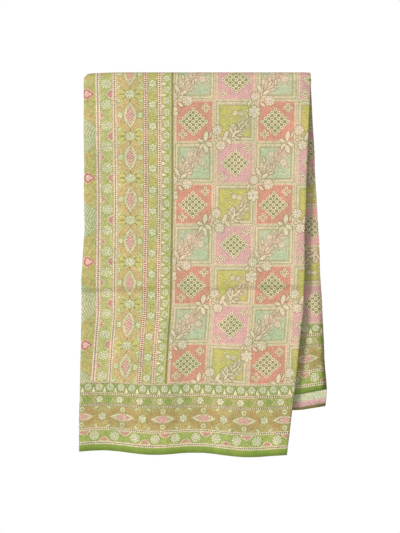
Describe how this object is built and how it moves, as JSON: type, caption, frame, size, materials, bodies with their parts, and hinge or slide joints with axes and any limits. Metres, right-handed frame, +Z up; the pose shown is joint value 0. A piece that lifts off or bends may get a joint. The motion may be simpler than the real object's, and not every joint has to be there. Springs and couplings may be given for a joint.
{
  "type": "kanjivaram sari",
  "caption": "Silk sari with a checked, flowered body, banded pallu and woven borders, folded into a narrow stack and hung over a thin rail.",
  "frame": {"origin": "middle of the line where the innermost section of the stack rests on the rail", "axes": "+Z up, +X along the rail towards the right as seen from the front, -Y towards the front, where the longer fall hangs"},
  "size_m": [0.407, 0.0394, 0.6259],
  "materials": {
    "silk": "woven silk with a soft sheen and pale metallic thread"
  },
  "bodies": {
    "root": {"sari": "silk"}
  },
  "joints": []
}
